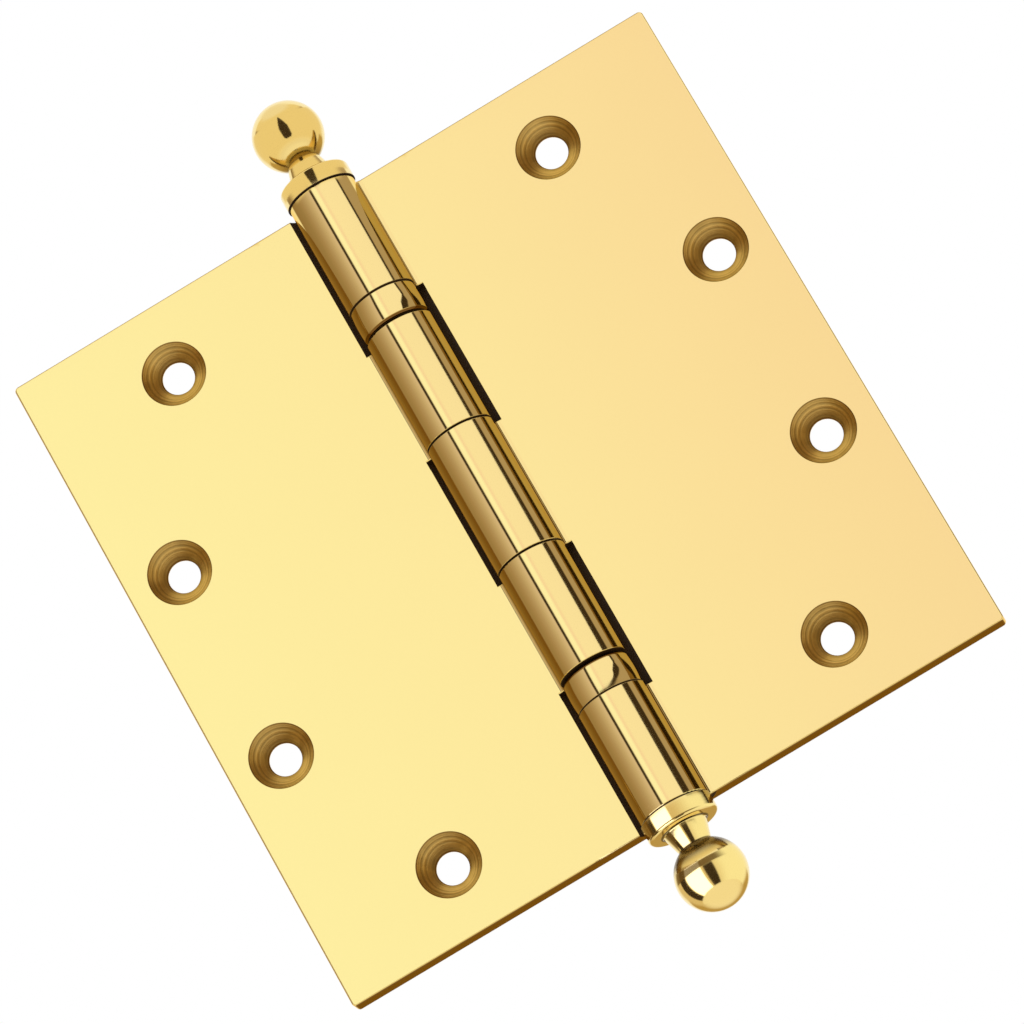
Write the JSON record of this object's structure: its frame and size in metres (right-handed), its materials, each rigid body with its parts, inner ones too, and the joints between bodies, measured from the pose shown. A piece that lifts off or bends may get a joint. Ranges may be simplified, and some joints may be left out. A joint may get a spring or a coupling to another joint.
{
  "type": "ball bearing hinge",
  "caption": "Full mortise butt hinge in polished brass with thrust ball bearings between its knuckles, a loose pin and ball tips.",
  "frame": {"origin": "on the pin's axis at the middle of the barrel", "axes": "+Z along the pin towards the loose pin's ball tip, +X towards the outer edge of the jamb leaf, -Y the way the countersunk faces look with the leaves opened flat"},
  "size_m": [0.127, 0.013, 0.165],
  "materials": {
    "polished_brass": "polished solid brass",
    "pin_steel": "ground steel rod",
    "bearing_steel": "hardened and ground steel",
    "cage_brass": "pressed sheet brass, dull"
  },
  "bodies": {
    "jamb_side": {"jamb_leaf": "polished_brass", "bottom_ball_tip": "polished_brass", "upper_bearing_shell": "polished_brass", "upper_bearing_seat_race": "bearing_steel", "lower_bearing_shell": "polished_brass", "lower_bearing_seat_race": "bearing_steel"},
    "door_side": {"door_leaf": "polished_brass", "upper_bearing_turning_race": "bearing_steel", "lower_bearing_turning_race": "bearing_steel"},
    "loose_pin": {"hinge_pin": "pin_steel", "top_ball_tip": "polished_brass"},
    "upper_ball_ring": {"upper_bearing_cage": "cage_brass", "upper_bearing_balls": "bearing_steel"},
    "lower_ball_ring": {"lower_bearing_cage": "cage_brass", "lower_bearing_balls": "bearing_steel"}
  },
  "joints": [
    {"name": "leaf_swing", "type": "hinge", "parent": "jamb_side", "child": "door_side", "pos_m": [0, 0, 0], "axis": [0, 0, 1], "range_deg": [-75, 180]},
    {"name": "pin_lift", "type": "slide", "parent": "jamb_side", "child": "loose_pin", "axis": [0, 0, 1], "range_m": [0, 0.118]},
    {"name": "upper_ball_ring_turn", "type": "hinge", "parent": "jamb_side", "child": "upper_ball_ring", "pos_m": [0, 0, 0], "axis": [0, 0, 1], "range_deg": [-37.5, 90]},
    {"name": "lower_ball_ring_turn", "type": "hinge", "parent": "jamb_side", "child": "lower_ball_ring", "pos_m": [0, 0, 0], "axis": [0, 0, 1], "range_deg": [-37.5, 90]}
  ],
  "couplings": [
    {"joint": "upper_ball_ring_turn", "follows": "leaf_swing", "ratio": 0.5},
    {"joint": "lower_ball_ring_turn", "follows": "leaf_swing", "ratio": 0.5}
  ]
}
